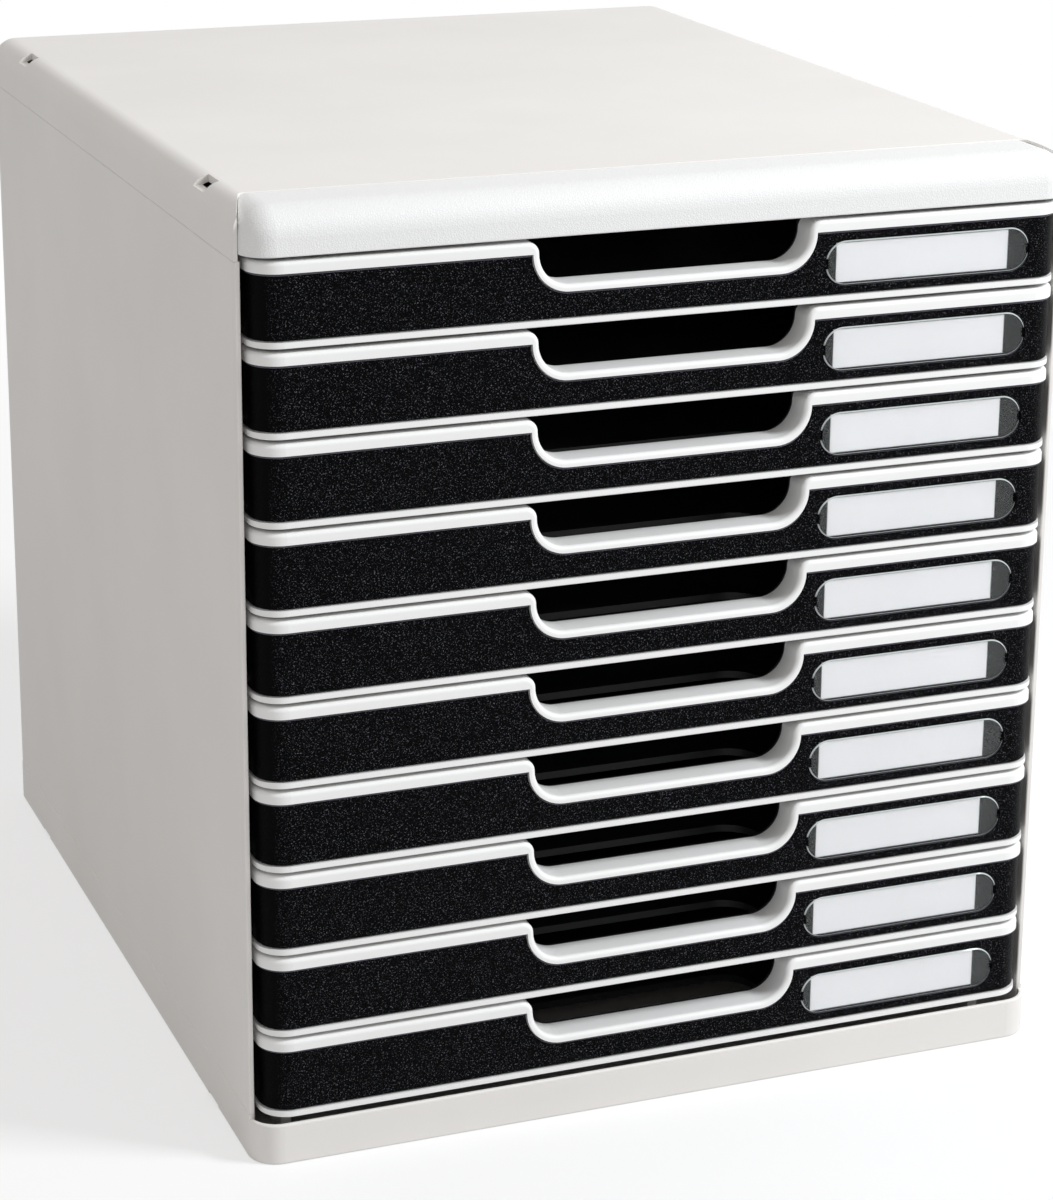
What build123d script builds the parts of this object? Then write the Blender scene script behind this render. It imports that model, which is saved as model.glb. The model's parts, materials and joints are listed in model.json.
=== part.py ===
"""Ten-drawer filing module: a closed plastic case with ten flat drawers on moulded runners.

Millimetres, +Z up, origin at the middle of the underside. The fronts face -Y and slide that way,
and the label windows are on the +X side. Drawer 01 is the top one.
"""
from build123d import *
import os

# How near an edge has to be to a place to count as lying there
edge_match = 0.02

# Overall sizes
case_width = 288.0
case_depth = 350.0
drawer_count = 10
front_height = 27.4
front_gap = 1.4
base_height = 14.3
base_gap = 2.2
cornice_gap = 1.3
cornice_height = 15.6

# Case walls and seams
side_wall = 1.8
skirt_proud = 0.2
skirt_wall = 1.2
seam_gap = 0.1
seam_chamfer = 0.4
top_plate = 2.5
top_edge_radius = 8.0
cover_skirt = 17.6
cover_edge_chamfer = 0.3
tongue_height = 7.0
floor_plate = 3.0
base_skirt = 16.0
front_corner_radius = 10.0
rear_corner_radius = 9.0
rear_split = 12.0
panel_front_setback = 8.0
panel_edge_round = 0.5

# Front cornice and base band
cornice_wall = 2.4
cornice_crown = 9.5
cornice_depth = 24.8
cornice_joint = 0.2
cornice_step = 0.2
cornice_foot_round = 0.5
cornice_shoulder = 5.5
cornice_shoulder_round = 3.0
base_edge_round = 0.8

# Stacking slots in the cover's rounded edges, and the notches under the base that match them
stack_setback = 51.0
stack_length = 12.0
stack_width = 6.5
stack_depth = 3.5
notch_width = 1.8
notch_height = 1.2

# Runner ledges, keeper ribs, stops and the base's guide rails
ledge_width = 7.2
ledge_height = 2.2
ledge_front_setback = 17.5
ledge_rear_setback = 6.0
keeper_height = 1.6
keeper_width = 2.6
stop_width = 1.5
stop_length = 4.0
stop_setback = 25.0
rail_offset = 128.8
rail_width = 3.5
rail_front_setback = 16.0
rail_slope = 4.0
rail_clearance = 0.3

# Drawer fronts
front_setback = 0.4
front_side_gap = 1.7
front_wrap = 16.6
top_lip = 3.9
bottom_lip = 2.0
frame_wall = 1.6
lip_round = 1.5
lip_foot_round = 0.4
shelf_depth = 10.2
shelf_thickness = 2.0

# Finger scoop in the top of each front
scoop_width = 93.6
scoop_depth = 14.3
scoop_radius = 10.2
scoop_lip = 2.3
shoulder_round = 4.0

# Black insert
insert_inset = 0.5
insert_thickness = 1.0
insert_clearance = 0.3
insert_bevel = 0.4
glue_gap = 0.05

# Label window: a pocket in the insert, with a clear lens over a paper label
window_height = 15.4
window_scoop_gap = 5.3
window_side_gap = 12.8
window_floor = 0.4
lens_clearance = 0.4
lens_proud = 0.35
lens_bevel = 0.4
rib_pitch = 0.65
rib_width = 0.5
rib_depth = 0.25
rib_margin = 1.0
clip_notch_width = 1.2
clip_notch_height = 3.4
label_height = 12.9
label_thickness = 0.3
label_left_inset = 4.4
label_right_inset = 8.2
label_clearance = 0.2

# Trays and how they run
tray_wall = 1.6
tray_floor = 1.6
tray_lift = 1.0
tray_height = 24.6
tray_rear_setback = 5.0
tray_rear_radius = 3.0
tray_side_gap = 0.3
tray_seat = 0.3
runner_clearance = 0.2
flange_side_gap = 0.4
flange_rear_setback = 4.0
lug_length = 12.0
drawer_travel = 266.0
travel_spare = 0.3
scoop_clearance = 0.4
finger_hole_width = 100.0
finger_hole_length = 30.0
finger_hole_radius = 12.0
finger_hole_setback = 2.4
rim_height = 0.9
rim_width = 1.6

# Heights
pitch = front_height + front_gap
fronts_bottom = base_height + base_gap
fronts_top = fronts_bottom + drawer_count * pitch - front_gap
cornice_bottom = fronts_top + cornice_gap
case_height = cornice_bottom + cornice_height
cover_bottom = case_height - cover_skirt

# Places along X and Y
half_width = case_width / 2
case_front = -case_depth / 2
case_rear = case_depth / 2
wall_inset = skirt_proud + side_wall
panel_inner = half_width - wall_inset
panel_front = case_front + panel_front_setback
cornice_back = case_front + cornice_depth
cornice_half = half_width - skirt_wall - cornice_joint

# Runner places, with heights above a drawer's lower edge
ledge_top = tray_lift - runner_clearance
ledge_front = case_front + ledge_front_setback
ledge_back = case_rear - ledge_rear_setback
keeper_bottom = tray_lift + tray_floor + runner_clearance
stop_front = case_front + stop_setback
stop_back = stop_front + stop_length

# Drawer places, with heights above the drawer's lower edge
front_half = panel_inner - front_side_gap
front_face = case_front + front_setback
front_back = front_face + front_wrap
recess_depth = insert_inset + insert_thickness
frame_depth = recess_depth + frame_wall
shelf_back = front_face + shelf_depth
scoop_bottom = front_height - scoop_depth
insert_low = bottom_lip + insert_clearance
insert_high = front_height - top_lip - insert_clearance
window_left = scoop_width / 2 + window_scoop_gap
window_right = front_half - window_side_gap
window_z = (insert_low + insert_high) / 2
insert_back = front_face + recess_depth - glue_gap
window_back = insert_back - window_floor
label_left = window_left + label_left_inset
label_right = window_right - label_right_inset
tray_half = front_half - frame_depth - tray_side_gap
tray_front = shelf_back + tray_seat
tray_rear = case_rear - tray_rear_setback
flange_half = panel_inner - stop_width - runner_clearance
lug_half = panel_inner - flange_side_gap
lug_front = stop_back + drawer_travel + travel_spare
hole_front = tray_front + tray_wall + finger_hole_setback


def drawer_bottom(number):
    """Height of the lower edge of a drawer front; number 1 is the top drawer."""
    return fronts_bottom + (drawer_count - number) * pitch


def block(x, y, z):
    """A box given by its low and high limits along each axis."""
    corner = (Align.MIN, Align.MIN, Align.MIN)
    return Pos(x[0], y[0], z[0]) * Box(x[1] - x[0], y[1] - y[0], z[1] - z[0], align=corner)


def field(x, y):
    """A plain rectangle in plan given by its limits."""
    return Pos(x[0], y[0]) * Rectangle(x[1] - x[0], y[1] - y[0], align=(Align.MIN, Align.MIN))


def raised(plan, low, high):
    """A plan extruded between two heights."""
    return Pos(0, 0, low) * extrude(plan, amount=high - low)


def along_y(sketch, front, back):
    """A sketch drawn in X and Z, extruded between two places along Y."""
    plane = Plane(origin=(0, back, 0), x_dir=(1, 0, 0), z_dir=(0, -1, 0))
    return extrude(plane * sketch, amount=back - front)


def rounded_front(half, front, back, radius):
    """Plan of a piece whose two front corners are rounded and whose back is straight."""
    depth = back - front
    whole = Pos(0, back) * RectangleRounded(2 * half, 2 * depth, radius)
    return whole & field((-half, half), (front, back))


def case_plan(inset):
    """Plan of the whole case, set in from its outline by the same distance all round."""
    outline = Rectangle(case_width - 2 * inset, case_depth - 2 * inset)
    front = outline.vertices().group_by(Axis.Y)[0]
    outline = fillet(front, radius=front_corner_radius - inset)
    rear = outline.vertices().group_by(Axis.Y)[-1]
    return fillet(rear, radius=rear_corner_radius - inset)


def cornice_plan():
    """Plan of the cornice: rounded front corners, and rear corners cut back to the sides."""
    shoulder = cornice_half - cornice_shoulder
    outline = Polygon(
        (-cornice_half, panel_front),
        (-cornice_half, case_front),
        (cornice_half, case_front),
        (cornice_half, panel_front),
        (shoulder, cornice_back),
        (-shoulder, cornice_back),
        align=None,
    )
    outline = fillet(outline.vertices().group_by(Axis.Y)[-1], radius=cornice_shoulder_round)
    return outline & rounded_front(cornice_half, case_front, cornice_back, front_corner_radius)


def flat_edges(shape, height):
    """Edges of a shape that lie at one height."""
    return [
        edge for edge in shape.edges()
        if abs(edge.bounding_box().min.Z - height) < edge_match
        and abs(edge.bounding_box().max.Z - height) < edge_match
    ]


def lies_at(edge, place):
    """True if an edge runs along X at one place along Y."""
    box = edge.bounding_box()
    return abs(box.min.Y - place) < edge_match and abs(box.max.Y - place) < edge_match


def soft_case(inset, low, high, radius):
    """The case's outline between two heights, with its top edges rounded."""
    solid = raised(case_plan(inset), low, high)
    return fillet(flat_edges(solid, high), radius=radius)


def soft_cornice(inset, low, high):
    """The cornice's front and sides between two heights, with its crown rounded."""
    plan = rounded_front(
        cornice_half - inset, case_front + inset, cornice_back, front_corner_radius - inset
    )
    solid = raised(plan, low, high)
    crown = [edge for edge in flat_edges(solid, high) if not lies_at(edge, cornice_back)]
    return fillet(crown, radius=cornice_crown - inset)


def stacking_blocks(width, low, high):
    """Blocks to cut away at the four stacking places, reaching in from the case's sides."""
    blocks = []
    for middle in (case_front + stack_setback, case_rear - stack_setback):
        along = (middle - stack_length / 2, middle + stack_length / 2)
        for side in (-1, 1):
            across = sorted((side * half_width, side * (half_width - width)))
            blocks.append(block(across, along, (low, high)))
    return blocks


def top_cover():
    """Top plate with side and rear skirts, rounded side edges and four stacking slots."""
    outer = soft_case(0, cover_bottom, case_height, top_edge_radius)
    hollow_radius = top_edge_radius - skirt_wall
    cover = outer - soft_case(skirt_wall, cover_bottom, case_height - top_plate, hollow_radius)
    across = (-half_width, half_width)
    cover = cover - block(across, (case_front, panel_front), (cover_bottom, case_height))
    opening = offset(cornice_plan(), cornice_joint)
    bevel = extrude(opening, amount=cover_edge_chamfer, taper=-45)
    cover = cover - raised(opening, cover_bottom, case_height)
    cover = cover - Pos(0, 0, case_height - cover_edge_chamfer) * bevel
    for slot in stacking_blocks(stack_width, case_height - stack_depth, case_height):
        cover = cover - slot
    return cover


def front_cornice():
    """Rounded hollow cap over the top drawer, between the forward ends of the cover's skirts."""
    top = case_height - cornice_step
    cap = soft_cornice(0, cornice_bottom, top)
    foot = [edge for edge in flat_edges(cap, cornice_bottom) if not lies_at(edge, cornice_back)]
    cap = fillet(foot, radius=cornice_foot_round) & raised(cornice_plan(), cornice_bottom, top)
    hollow = soft_cornice(cornice_wall, cornice_bottom, top - cornice_wall)
    inner_plan = offset(cornice_plan(), -cornice_wall)
    return cap - (hollow & raised(inner_plan, cornice_bottom, top))


def guide_rails():
    """Two rails on the base floor under the lowest tray, with sloped front ends."""
    top = drawer_bottom(drawer_count) + tray_lift - rail_clearance
    front = case_front + rail_front_setback
    rails = []
    for side in (-1, 1):
        x = side * rail_offset
        rail = block(
            (x - rail_width / 2, x + rail_width / 2), (front, ledge_back), (floor_plate, top)
        )
        nose = [edge for edge in flat_edges(rail, top) if lies_at(edge, front)]
        rails.append(chamfer(nose, length=rail_slope))
    return rails


def base():
    """Floor with a front band, side and rear skirts, stacking notches and two guide rails."""
    outer = raised(case_plan(0), 0, base_skirt)
    outer = chamfer(flat_edges(outer, base_skirt), length=seam_chamfer)
    outer = fillet(flat_edges(outer, 0), radius=base_edge_round)
    across = (-half_width, half_width)
    outer = outer - block(across, (case_front, panel_front), (base_height, base_skirt))
    rim = [edge for edge in flat_edges(outer, base_height) if not lies_at(edge, panel_front)]
    outer = fillet(rim, radius=base_edge_round)
    body = outer - raised(case_plan(skirt_wall), floor_plate, base_skirt)
    for rail in guide_rails():
        body = body + rail
    for notch in stacking_blocks(notch_width, 0, notch_height):
        body = body - notch
    return body


def shell_wall():
    """The wall all round the case, with rebated tongues that enter the base and the cover."""
    low = base_skirt + seam_gap
    high = cover_bottom - seam_gap
    wall = raised(case_plan(skirt_proud), low, high)
    wall = chamfer(flat_edges(wall, high), length=seam_chamfer)
    tongue_z = (base_skirt - tongue_height, cover_bottom + tongue_height)
    wall = wall + raised(case_plan(skirt_wall + seam_gap), tongue_z[0], tongue_z[1])
    wall = wall - raised(case_plan(wall_inset), tongue_z[0], tongue_z[1])
    beside_cornice = (case_front, cornice_back + cornice_joint)
    return wall - block((-half_width, half_width), beside_cornice, (high, tongue_z[1]))


def side_panel_right():
    """Side wall that wraps the rear corner, with a ledge, keeper rib and stop for each drawer."""
    reach = (half_width - rear_split, half_width)
    wall = shell_wall() & block(reach, (panel_front, case_rear), (0, case_height))
    front_edges = [
        edge for edge in wall.edges().filter_by(Axis.Z)
        if lies_at(edge, panel_front) and edge.length > case_height / 2
    ]
    wall = fillet(front_edges, radius=panel_edge_round)
    for number in range(1, drawer_count + 1):
        bottom = drawer_bottom(number)
        ledge_z = (bottom + ledge_top - ledge_height, bottom + ledge_top)
        keeper_z = (bottom + keeper_bottom, bottom + keeper_bottom + keeper_height)
        stop_z = (ledge_z[1], keeper_z[0])
        along = (ledge_front, ledge_back)
        wall = wall + block((panel_inner - ledge_width, panel_inner), along, ledge_z)
        wall = wall + block((panel_inner - keeper_width, panel_inner), along, keeper_z)
        wall = wall + block((panel_inner - stop_width, panel_inner), (stop_front, stop_back), stop_z)
    return wall


def back_panel():
    """Rear wall between the two side panels."""
    reach = half_width - rear_split - seam_gap
    return shell_wall() & block((-reach, reach), (0, case_rear), (0, case_height))


def front_plan(inset):
    """Plan of a drawer front, set in from its face and its rounded ends."""
    radius = front_corner_radius - inset
    return rounded_front(front_half - inset, front_face + inset, front_back, radius)


def scoop_outline(grow):
    """The finger scoop seen from the front, grown all round and open at the top."""
    bottom = scoop_bottom - grow
    height = 2 * (front_height + front_gap - bottom)
    width = scoop_width + 2 * grow
    return Pos(0, bottom + height / 2) * RectangleRounded(width, height, scoop_radius + grow)


def window_outline(grow):
    """The label window's round-ended outline seen from the front."""
    slot = SlotOverall(window_right - window_left + 2 * grow, window_height + 2 * grow)
    return Pos((window_left + window_right) / 2, window_z) * slot


def label_field(grow, back):
    """The room behind the lens that the paper label takes, grown sideways."""
    x = (label_left - grow, label_right + grow)
    z = (window_z - label_height / 2 - grow, window_z + label_height / 2 + grow)
    return block(x, (window_back, back), z)


def top_edges(solid):
    """Edges round a front's top and scoop, but no upright corner lines."""
    corner_start = front_half - front_corner_radius
    face = solid.faces().sort_by(Axis.Y)[0]
    middle = [
        edge for edge in face.edges()
        if abs(edge.center().X) < corner_start - edge_match and edge.center().Z > edge_match
    ]
    ends = [
        edge for edge in flat_edges(solid, front_height)
        if abs(edge.center().X) > corner_start + edge_match and not lies_at(edge, front_back)
    ]
    return middle + ends


def front_block():
    """A drawer front as a solid block: rounded ends, open scoop, soft top lip and a crisp foot."""
    solid = raised(front_plan(0), 0, front_height)
    solid = solid - along_y(scoop_outline(0), front_face, front_back)
    shoulders = [
        edge for edge in solid.edges().filter_by(Axis.Y)
        if edge.center().Z > front_height - edge_match
        and abs(edge.center().X) < scoop_width / 2 + edge_match
    ]
    solid = fillet(shoulders, radius=shoulder_round)
    solid = fillet(top_edges(solid), radius=lip_round)
    foot = [edge for edge in flat_edges(solid, 0) if not lies_at(edge, front_back)]
    return fillet(foot, radius=lip_foot_round)


def front_frame():
    """Front frame with lips, rounded ends, the insert's recess and the scoop's deep lip."""
    across = (-front_half, front_half)
    shelf_z = (front_height - shelf_thickness, front_height)
    shelf = block(across, (front_face, shelf_back), shelf_z)
    band = along_y(scoop_outline(scoop_lip), front_face, shelf_back)
    cavity = raised(front_plan(frame_depth), 0, front_height) - shelf - band
    recess = raised(front_plan(0) - front_plan(recess_depth), bottom_lip, front_height - top_lip)
    return front_block() - cavity - (recess - band)


def insert():
    """Black panel that wraps the front's rounded ends, with the label window's pocket."""
    plan = front_plan(insert_inset) - front_plan(recess_depth - glue_gap)
    panel = raised(plan, insert_low, insert_high)
    panel = panel - along_y(scoop_outline(scoop_lip + insert_clearance), case_front, 0)
    face = front_face + insert_inset
    rim = [edge for edge in panel.edges() if lies_at(edge, face)]
    panel = chamfer(rim, length=insert_bevel)
    panel = panel - along_y(window_outline(0), case_front, window_back)
    return panel - label_field(label_clearance, insert_back)


def lens_ribs(left, right, back):
    """Upright V grooves across the back of the lens between two places along X."""
    count = int((right - left) / rib_pitch)
    start = (left + right - (count - 1) * rib_pitch) / 2
    grooves = []
    for index in range(count):
        x = start + index * rib_pitch
        groove = make_face(
            Polyline(
                (x - rib_width / 2, back),
                (x + rib_width / 2, back),
                (x, back - rib_depth),
                close=True,
            )
        )
        grooves.append(raised(groove, window_z - window_height / 2, window_z + window_height / 2))
    return grooves


def lens():
    """Clear label window with a bevelled rim, ribbed ends and a clip notch at each end."""
    front = front_face + insert_inset - lens_proud
    back = window_back - glue_gap
    shape = along_y(window_outline(-lens_clearance), front, back)
    shape = chamfer([edge for edge in shape.edges() if lies_at(edge, front)], length=lens_bevel)
    ends = [(window_left + rib_margin, label_left), (label_right, window_right - rib_margin)]
    for left, right in ends:
        for groove in lens_ribs(left, right, back):
            shape = shape - groove
    for end in (window_left + lens_clearance, window_right - lens_clearance):
        notch_x = (end - clip_notch_width, end + clip_notch_width)
        notch_z = (window_z - clip_notch_height / 2, window_z + clip_notch_height / 2)
        shape = shape - block(notch_x, (front, back), notch_z)
    return shape


def label():
    """Plain paper label behind the lens."""
    return label_field(0, window_back + label_thickness)


def tray():
    """Drawer tray with a rimmed finger hole, a scoop in its front wall, flanges and stop lugs."""
    floor_z = (tray_lift, tray_lift + tray_floor)
    top = tray_lift + tray_height
    rear_plan = Rot(0, 0, 180) * rounded_front(tray_half, -tray_rear, -tray_front, tray_rear_radius)
    body = raised(rear_plan, tray_lift, top)
    inner_plan = Rot(0, 0, 180) * rounded_front(
        tray_half - tray_wall,
        tray_wall - tray_rear,
        -tray_front - tray_wall,
        tray_rear_radius - tray_wall,
    )
    body = body - raised(inner_plan, floor_z[1], top)
    body = body - along_y(scoop_outline(scoop_clearance), tray_front, tray_front + tray_wall)
    toe_front = front_face + frame_depth + tray_seat
    toe_half = front_half - front_corner_radius
    body = body + block((-toe_half, toe_half), (toe_front, tray_front), floor_z)
    flange_y = (front_back + tray_seat, tray_rear - flange_rear_setback)
    lug_y = (lug_front, lug_front + lug_length)
    for side in (-1, 1):
        flange_x = sorted((side * tray_half, side * flange_half))
        lug_x = sorted((side * tray_half, side * lug_half))
        body = body + block(flange_x, flange_y, floor_z) + block(lug_x, lug_y, floor_z)
    hole = Pos(0, hole_front + finger_hole_length / 2) * RectangleRounded(
        finger_hole_width, finger_hole_length, finger_hole_radius
    )
    rim = Pos(0, hole_front + finger_hole_length / 2) * RectangleRounded(
        finger_hole_width + 2 * rim_width,
        finger_hole_length + 2 * rim_width,
        finger_hole_radius + rim_width,
    )
    body = body + raised(rim, floor_z[1], floor_z[1] + rim_height)
    return body - raised(hole, tray_lift, floor_z[1] + rim_height)


def save(name, shape):
    """Writes one named piece as a STEP file."""
    shape.label = name
    export_step(shape, f"parts/{name}.step")


def main():
    os.makedirs("parts", exist_ok=True)
    right = side_panel_right()
    save("top_cover", top_cover())
    save("front_cornice", front_cornice())
    save("base", base())
    save("side_panel_right", right)
    save("side_panel_left", mirror(right, about=Plane.YZ))
    save("back_panel", back_panel())
    pieces = {
        "tray": tray(),
        "front_frame": front_frame(),
        "insert": insert(),
        "lens": lens(),
        "label": label(),
    }
    for number in range(1, drawer_count + 1):
        place = Pos(0, 0, drawer_bottom(number))
        for name, piece in pieces.items():
            save(f"{name}_{number:02d}", place * piece)


main()
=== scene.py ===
"""Looks of the ten-drawer filing module: camera, stage, lamp and the materials of its pieces.

The scene is in metres, +Z up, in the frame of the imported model. Pixels are those of the
1053 x 1200 picture, and colours of 0 to 255 are as seen on screen.
"""
import json

import bpy
from mathutils import Color, Matrix, Vector

MM = 0.001
brightest = 255
opaque = 1.0
rising = (0.0, 1.0)
falling = (1.0, 0.0)

# Picture and camera: pixels, metres and radians, and the sensor's longer side in millimetres
picture_height = 1200
sensor_side = 36.0
focal_pixels = 3275.0
centre_row = 468.0
camera_place = (-0.41182, -1.10373, 0.52470)
camera_tilt = 1.28344
camera_turn = -0.37046
camera_roll = 0.00791
camera_reach = 50.0

# Floor: the share of plain white in it rises with the distance from the object, in metres
floor_size = 12.0
floor_seen_level = 0.96
floor_lit_level = 0.74
floor_roughness = 0.9
floor_gloss = 0.0
floor_white_radius = (0.35, 1.1)
floor_white_share = (0.55, 1.0)

# World: white where it is seen, and a softer warm light on the object
seen_color = (1.0, 1.0, 1.0)
seen_strength = 1.0
ambient_color = (1.0, 0.98, 0.975)
ambient_strength = 0.58

# Key lamp from the right-hand front: place, aim and size in metres, power in watts
key_place = (1.08, -0.875, 1.26)
key_aim = (0, 0, 0.16)
key_size = 0.40
key_power = 22.5
key_color = (0.94, 0.97, 1.0)

# Noise: the range that its values mostly keep to, and the size of slow clouds in millimetres
noise_range = (0.3, 0.7)
noise_roughness = 0.5
grain_detail = 2.0
cloud_detail = 3.0
cloud_size = 60.0

# Opaque materials: darker and lighter colour, size and depth of the grain in millimetres, range of
# roughness, and strength of reflection
looks = {
    "shell_plastic": dict(
        dark=(229, 226, 222), light=(233, 230, 226), grain=0.5, depth=0.03, rough=(0.5, 0.62), gloss=0.4
    ),
    # The cornice's darker colour is painted shade in the creases of its grain
    "cornice_plastic": dict(
        dark=(232, 232, 231), light=(236, 236, 235), grain=0.8, depth=0.05, rough=(0.45, 0.55), gloss=0.4
    ),
    "frame_plastic": dict(
        dark=(238, 238, 236), light=(241, 241, 240), grain=0.4, depth=0.01, rough=(0.4, 0.5), gloss=0.4
    ),
    "tray_plastic": dict(
        dark=(38, 38, 40), light=(44, 44, 46), grain=0.4, depth=0.02, rough=(0.3, 0.45), gloss=0.2
    ),
    # The insert's lighter colour is painted: painted glints and painted highlights on its bevels
    "insert_plastic": dict(
        dark=(2, 2, 3), light=(104, 104, 112), grain=0.5, depth=0.2, rough=(0.25, 0.4), gloss=0.03
    ),
    "label_paper": dict(
        dark=(247, 248, 250), light=(250, 251, 253), grain=0.2, depth=0.01, rough=(0.7, 0.8), gloss=0.4
    ),
}

# Leather grain: how far the creases reach into a pebble, and the size of its clouds in pebbles
crease_reach = (0.0, 0.25)
leather_cloud = 2.0

# Insert: roughness of its noise, the noise values painted as glints, how squarely a face looks forward
# to carry painted glints, and how far a bevel looks up to get a painted highlight
spark_roughness = 0.8
glint_levels = (0.59, 0.71)
glint_facing = (0.8, 0.98)
painted_bevel_facing = (0.4, 0.65)

# Lens: its clear plastic, the size of its waves in millimetres, and the colours painted on its edges:
# a painted highlight on the bevel, and ribs painted dark with a painted highlight on their flanks
lens_index = 1.49
lens_alpha = 0.65
lens_roughness = (0.01, 0.03)
lens_wave = 12.0
lens_face_color = (255, 255, 255)
lens_bevel_highlight_color = (225, 232, 232)
rib_dark_color = (14, 16, 16)
rib_highlight_color = (112, 120, 120)

# Lens facings: faces are clear, bevels lean forward and not sideways, and rib flanks look sideways
clear_facing = (0.9, 0.97)
bevel_forward = (-0.6, -0.3)
bevel_sideways = (0.66, 0.70)
rib_sideways = (-0.6, 0.6)


def linear(color):
    """A colour as seen on screen, as linear values with alpha."""
    seen = Color([level / brightest for level in color])
    return (*seen.from_srgb_to_scene_linear(), opaque)


def grey(level):
    """A linear grey with alpha."""
    return (level, level, level, opaque)


def add_object(name, data):
    """A new object with this data, in the scene."""
    thing = bpy.data.objects.new(name, data)
    bpy.context.scene.collection.objects.link(thing)
    return thing


def add_camera():
    """Camera of the photograph, with a small vertical shift."""
    data = bpy.data.cameras.new("photo_camera")
    data.sensor_width = sensor_side
    data.lens = focal_pixels * sensor_side / picture_height
    data.shift_y = (centre_row - picture_height / 2) / picture_height
    data.clip_end = camera_reach
    camera = add_object("photo_camera", data)
    turn = Matrix.Rotation(camera_turn, 4, "Z")
    tilt = Matrix.Rotation(camera_tilt, 4, "X")
    roll = Matrix.Rotation(camera_roll, 4, "Z")
    camera.matrix_world = Matrix.Translation(camera_place) @ turn @ tilt @ roll
    bpy.context.scene.camera = camera


def add_key():
    """A soft square lamp that points at the middle of the object."""
    data = bpy.data.lights.new("key", "AREA")
    data.size = key_size
    data.energy = key_power
    data.color = key_color
    lamp = add_object("key", data)
    lamp.location = key_place
    aim = Vector(key_aim) - Vector(key_place)
    lamp.rotation_euler = aim.to_track_quat("-Z", "Y").to_euler()


def add_node(tree, kind, **settings):
    """A new shader node of this kind, with its settings."""
    node = tree.nodes.new(f"ShaderNode{kind}")
    for name, value in settings.items():
        setattr(node, name, value)
    return node


def feed(tree, socket, value):
    """Sets a socket to a number or colour, or links another node's output to it."""
    if isinstance(value, bpy.types.NodeSocket):
        tree.links.new(value, socket)
    else:
        socket.default_value = value


def feed_all(tree, node, values):
    """Sets or links the sockets of a node by their names."""
    for name, value in values.items():
        feed(tree, node.inputs[name], value)


def calculate(tree, operation, *values):
    """A number worked out from one or two sockets or numbers."""
    step = add_node(tree, "Math", operation=operation)
    for socket, value in zip(step.inputs, values):
        feed(tree, socket, value)
    return step.outputs[0]


def mix_shaders(tree, share, first, second):
    """A shader between two others, by a share."""
    mix = add_node(tree, "MixShader")
    for socket, value in zip(mix.inputs, (share, first, second)):
        feed(tree, socket, value)
    return mix.outputs[0]


def tint(tree, share, first, second):
    """A colour between two others, by a share."""
    mix = add_node(tree, "Mix", data_type="RGBA")
    feed_all(tree, mix, {"Factor": share, "A": first, "B": second})
    return mix.outputs["Result"]


def stretch(tree, value, source, target):
    """A value in the source range, stretched to the target range and held within it."""
    ramp = add_node(tree, "MapRange")
    ends = {"From Min": source[0], "From Max": source[1], "To Min": target[0], "To Max": target[1]}
    feed_all(tree, ramp, {"Value": value, **ends})
    return ramp.outputs["Result"]


def place(tree):
    """The position in the object, in metres."""
    return add_node(tree, "TexCoord").outputs["Object"]


def facing(tree):
    """The X, Y and Z parts of the direction that a surface faces, as the object lies."""
    parts = add_node(tree, "SeparateXYZ")
    feed(tree, parts.inputs[0], add_node(tree, "TexCoord").outputs["Normal"])
    return parts.outputs


def noise(tree, size, detail, roughness=noise_roughness):
    """Noise whose blots are about this size in millimetres."""
    texture = add_node(tree, "TexNoise")
    scale = 1 / (size * MM)
    feed_all(
        tree, texture, {"Vector": place(tree), "Scale": scale, "Detail": detail, "Roughness": roughness}
    )
    return texture.outputs["Fac"]


def relief(tree, height, depth):
    """The surface's direction with relief of this depth in millimetres."""
    node = add_node(tree, "Bump")
    feed_all(tree, node, {"Height": height, "Distance": depth * MM})
    return node.outputs["Normal"]


def seen_directly(tree):
    """1 for camera, glossy and transmission rays, and 0 for light on surfaces."""
    rays = add_node(tree, "LightPath").outputs
    some = calculate(tree, "MAXIMUM", rays["Is Camera Ray"], rays["Is Glossy Ray"])
    return calculate(tree, "MAXIMUM", some, rays["Is Transmission Ray"])


def add_world():
    """White where it is seen, and a softer warm light on the object."""
    world = bpy.data.worlds.new("studio")
    world.use_nodes = True
    bpy.context.scene.world = world
    tree = world.node_tree
    lit = tree.nodes["Background"]
    feed_all(tree, lit, {"Color": (*ambient_color, opaque), "Strength": ambient_strength})
    seen = add_node(tree, "Background")
    feed_all(tree, seen, {"Color": (*seen_color, opaque), "Strength": seen_strength})
    mixed = mix_shaders(tree, seen_directly(tree), lit.outputs[0], seen.outputs[0])
    feed(tree, tree.nodes["World Output"].inputs["Surface"], mixed)


def start_material(name):
    """A new material, with its node tree and its surface shader."""
    material = bpy.data.materials.new(name)
    material.use_nodes = True
    return material, material.node_tree, material.node_tree.nodes["Principled BSDF"]


def floor_material():
    """Pale floor: white where it is seen, with a light shadow near the object."""
    material, tree, shader = start_material("floor")
    seen = seen_directly(tree)
    color = tint(tree, seen, grey(floor_lit_level), grey(floor_seen_level))
    surface = {"Base Color": color, "Roughness": floor_roughness, "Specular IOR Level": floor_gloss}
    feed_all(tree, shader, surface)
    radius = add_node(tree, "VectorMath", operation="LENGTH")
    feed(tree, radius.inputs[0], place(tree))
    white = stretch(tree, radius.outputs["Value"], floor_white_radius, floor_white_share)
    glow = add_node(tree, "Emission")
    feed_all(tree, glow, {"Color": (*seen_color, opaque), "Strength": seen_strength})
    share = calculate(tree, "MULTIPLY", white, seen)
    mixed = mix_shaders(tree, share, shader.outputs[0], glow.outputs[0])
    feed(tree, tree.nodes["Material Output"].inputs["Surface"], mixed)
    return material


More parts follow.
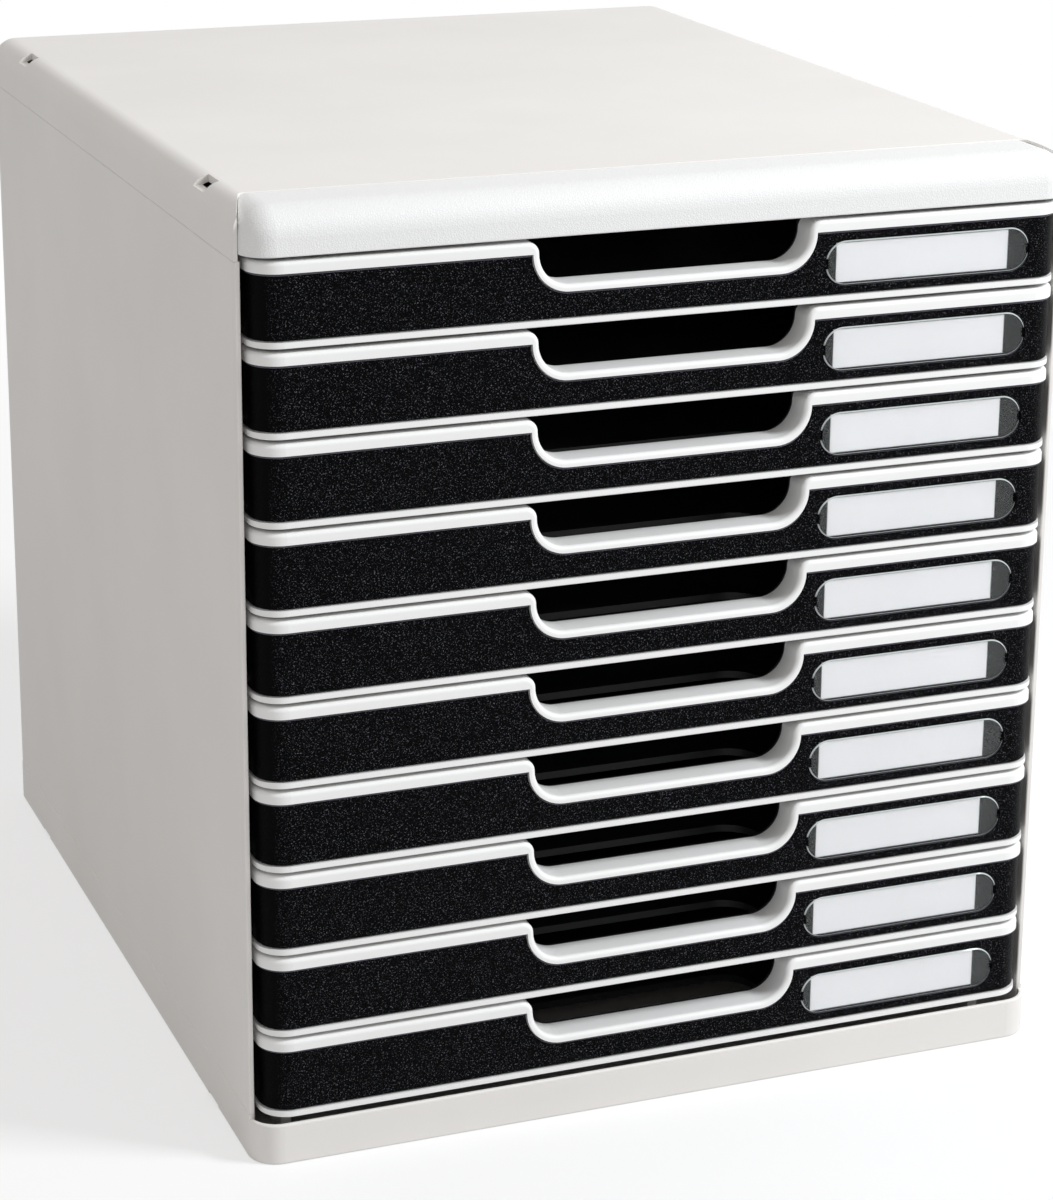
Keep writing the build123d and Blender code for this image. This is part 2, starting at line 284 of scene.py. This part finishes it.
def add_floor():
    """A wide square floor under the object."""
    half = floor_size / 2
    mesh = bpy.data.meshes.new("floor")
    corners = [(-half, -half, 0), (half, -half, 0), (half, half, 0), (-half, half, 0)]
    mesh.from_pydata(corners, [], [(0, 1, 2, 3)])
    mesh.materials.append(floor_material())
    add_object("floor", mesh)


def moulded(name):
    """Moulded plastic or paper: soft colour variation, fine grain and a little change in gloss."""
    look = looks[name]
    material, tree, shader = start_material(name)
    cloud = stretch(tree, noise(tree, cloud_size, cloud_detail), noise_range, rising)
    grain = noise(tree, look["grain"], grain_detail)
    surface = {
        "Base Color": tint(tree, cloud, linear(look["dark"]), linear(look["light"])),
        "Roughness": stretch(tree, grain, noise_range, look["rough"]),
        "Specular IOR Level": look["gloss"],
        "Normal": relief(tree, grain, look["depth"]),
    }
    feed_all(tree, shader, surface)
    return material


def leather(name):
    """Pale moulded plastic with a fine leather grain: low pebbles between shallow creases."""
    look = looks[name]
    material, tree, shader = start_material(name)
    cells = add_node(tree, "TexVoronoi", feature="DISTANCE_TO_EDGE")
    feed_all(tree, cells, {"Vector": place(tree), "Scale": 1 / (look["grain"] * MM)})
    pebbles = stretch(tree, cells.outputs["Distance"], crease_reach, rising)
    cloud = noise(tree, leather_cloud * look["grain"], cloud_detail)
    surface = {
        # Creases painted a little darker than the pebbles: painted shade in the creases
        "Base Color": tint(tree, pebbles, linear(look["dark"]), linear(look["light"])),
        "Roughness": stretch(tree, cloud, noise_range, look["rough"]),
        "Specular IOR Level": look["gloss"],
        "Normal": relief(tree, calculate(tree, "ADD", pebbles, cloud), look["depth"]),
    }
    feed_all(tree, shader, surface)
    return material


def sparkled(name):
    """Spark-eroded black plastic: a rough grain with painted glints as light points, none on the turned
    ends, and painted highlights on bevels.
    """
    look = looks[name]
    material, tree, shader = start_material(name)
    _, forward, upward = facing(tree)
    # Painted glints only on faces that look forward; the turned ends carry none and stay dark
    glint_area = stretch(tree, calculate(tree, "ABSOLUTE", forward), glint_facing, rising)
    # Painted highlight on faces that look up, such as the bevels
    bevel = stretch(tree, upward, painted_bevel_facing, rising)
    grain = noise(tree, look["grain"], grain_detail, spark_roughness)
    # Painted glints: light points of the grain
    painted_glints = calculate(tree, "MULTIPLY", stretch(tree, grain, glint_levels, rising), glint_area)
    painted_shine = calculate(tree, "MAXIMUM", painted_glints, bevel)
    surface = {
        "Base Color": tint(tree, painted_shine, linear(look["dark"]), linear(look["light"])),
        "Roughness": stretch(tree, grain, noise_range, look["rough"]),
        "Specular IOR Level": look["gloss"],
        "Normal": relief(tree, grain, look["depth"]),
    }
    feed_all(tree, shader, surface)
    return material


def clear_plastic(name):
    """Clear polished plastic with a painted highlight on the bevel round it, and ribs painted dark with
    a painted highlight on their left flanks.
    """
    material, tree, shader = start_material(name)
    across, forward, _ = facing(tree)
    clear = stretch(tree, calculate(tree, "ABSOLUTE", forward), clear_facing, rising)
    # Painted highlight on the ribs' left flanks, over ribs painted dark
    flank_highlight = stretch(tree, across, rib_sideways, falling)
    rib = tint(tree, flank_highlight, linear(rib_dark_color), linear(rib_highlight_color))
    # Painted highlight on the bevel that leans forward and not sideways
    leaning = stretch(tree, forward, bevel_forward, falling)
    level = stretch(tree, calculate(tree, "ABSOLUTE", across), bevel_sideways, falling)
    bevel = calculate(tree, "MULTIPLY", leaning, level)
    edge = tint(tree, bevel, rib, linear(lens_bevel_highlight_color))
    surface = {
        "Base Color": tint(tree, clear, edge, linear(lens_face_color)),
        "Roughness": stretch(tree, noise(tree, lens_wave, grain_detail), noise_range, lens_roughness),
        "IOR": lens_index,
        "Alpha": lens_alpha,
        "Transmission Weight": clear,
    }
    feed_all(tree, shader, surface)
    return material


def dress(frame):
    """Gives each CAD node the material of its slot."""
    plain_slots = ("shell_plastic", "frame_plastic", "tray_plastic", "label_paper")
    materials = {slot: moulded(slot) for slot in plain_slots}
    materials["cornice_plastic"] = leather("cornice_plastic")
    materials["insert_plastic"] = sparkled("insert_plastic")
    materials["lens_clear"] = clear_plastic("lens_clear")
    for entry in frame["record"]["subparts"]:
        mesh = frame["nodes"][entry["node"]].data
        mesh.materials.clear()
        mesh.materials.append(materials[entry["material_slot"]])


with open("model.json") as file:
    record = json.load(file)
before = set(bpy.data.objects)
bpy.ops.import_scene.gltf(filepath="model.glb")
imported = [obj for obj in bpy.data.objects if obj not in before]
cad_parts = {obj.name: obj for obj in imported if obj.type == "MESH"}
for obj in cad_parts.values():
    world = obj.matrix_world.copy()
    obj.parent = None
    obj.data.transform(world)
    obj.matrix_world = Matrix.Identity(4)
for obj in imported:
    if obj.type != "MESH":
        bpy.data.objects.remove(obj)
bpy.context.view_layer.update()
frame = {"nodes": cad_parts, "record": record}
add_camera()
add_world()
add_floor()
add_key()
dress(frame)
bpy.context.scene.view_settings.view_transform = "Standard"
